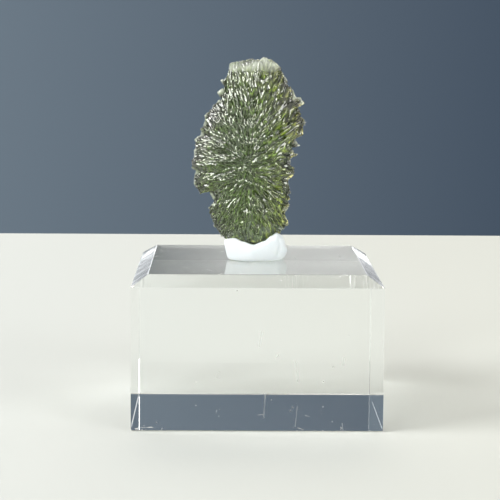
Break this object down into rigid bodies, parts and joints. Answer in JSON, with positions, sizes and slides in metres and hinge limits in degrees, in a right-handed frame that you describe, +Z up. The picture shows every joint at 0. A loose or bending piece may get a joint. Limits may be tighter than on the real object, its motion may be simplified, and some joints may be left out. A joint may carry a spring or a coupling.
{
  "type": "moldavite specimen",
  "caption": "Natural green moldavite, etched and ridged, standing on edge in a lump of white putty on a clear block with a bevelled top.",
  "frame": {"origin": "middle of the clear block's underside", "axes": "+Z up along the standing stone, +X to the right as the stone is looked at, the front faces -Y"},
  "size_m": [0.05, 0.05, 0.0731],
  "materials": {
    "moldavite_glass": "etched natural glass, olive green, glossy in its pits and furrows, lighter where it is thin",
    "white_putty": "soft matt white putty, smoothed by a finger",
    "clear_acrylic": "clear polished acrylic with a few fine scratches and specks"
  },
  "bodies": {
    "root": {"moldavite": "moldavite_glass", "putty": "white_putty", "display_block": "clear_acrylic"}
  },
  "joints": []
}
